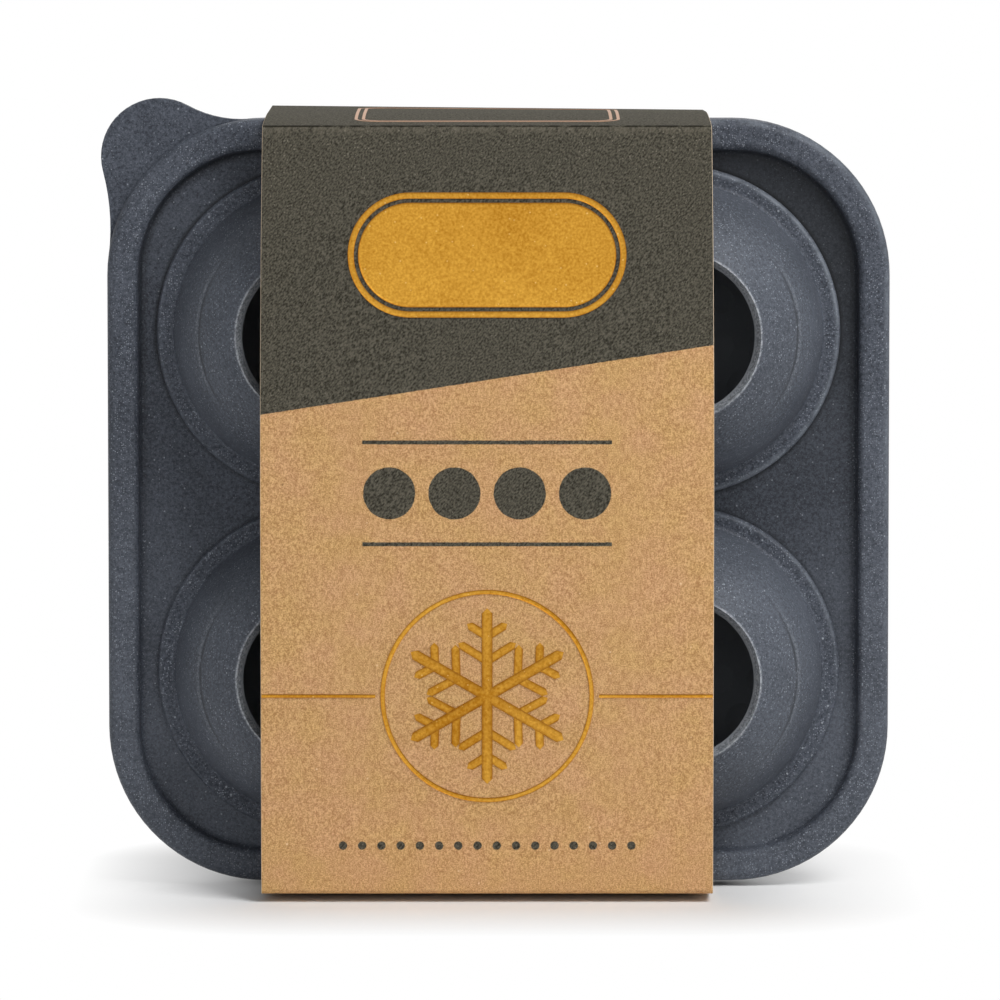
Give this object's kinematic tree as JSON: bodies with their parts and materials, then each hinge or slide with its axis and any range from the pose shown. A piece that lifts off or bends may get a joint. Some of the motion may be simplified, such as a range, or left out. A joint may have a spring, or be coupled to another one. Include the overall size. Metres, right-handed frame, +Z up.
{
  "type": "ice ball mould",
  "caption": "Silicone ice ball mould standing on edge: domed lid with fill holes and a pull tab, base tray with dimpled cups, and a printed card sleeve that slides off.",
  "frame": {"origin": "on the bottom face of the sleeve, under the middle of the mould and in its parting plane", "axes": "+Z up as the mould stands, -Y out of the lid's fill holes towards the viewer, +X to the viewer's right"},
  "size_m": [0.1411, 0.056, 0.1416],
  "materials": {
    "silicone": "satin, finely speckled",
    "card": "uncoated kraft, printed",
    "foil": "hot-stamped gold foil"
  },
  "bodies": {
    "base": {"base_tray": "silicone"},
    "lid": {"lid": "silicone"},
    "sleeve": {"card_sleeve": "card"}
  },
  "joints": [
    {"name": "sleeve_slide", "type": "slide", "parent": "base", "child": "sleeve", "axis": [1, 0, 0], "range_m": [0, 0.15]},
    {"name": "lid_lift", "type": "slide", "parent": "base", "child": "lid", "axis": [0, -1, 0], "range_m": [0, 0.0035]}
  ]
}
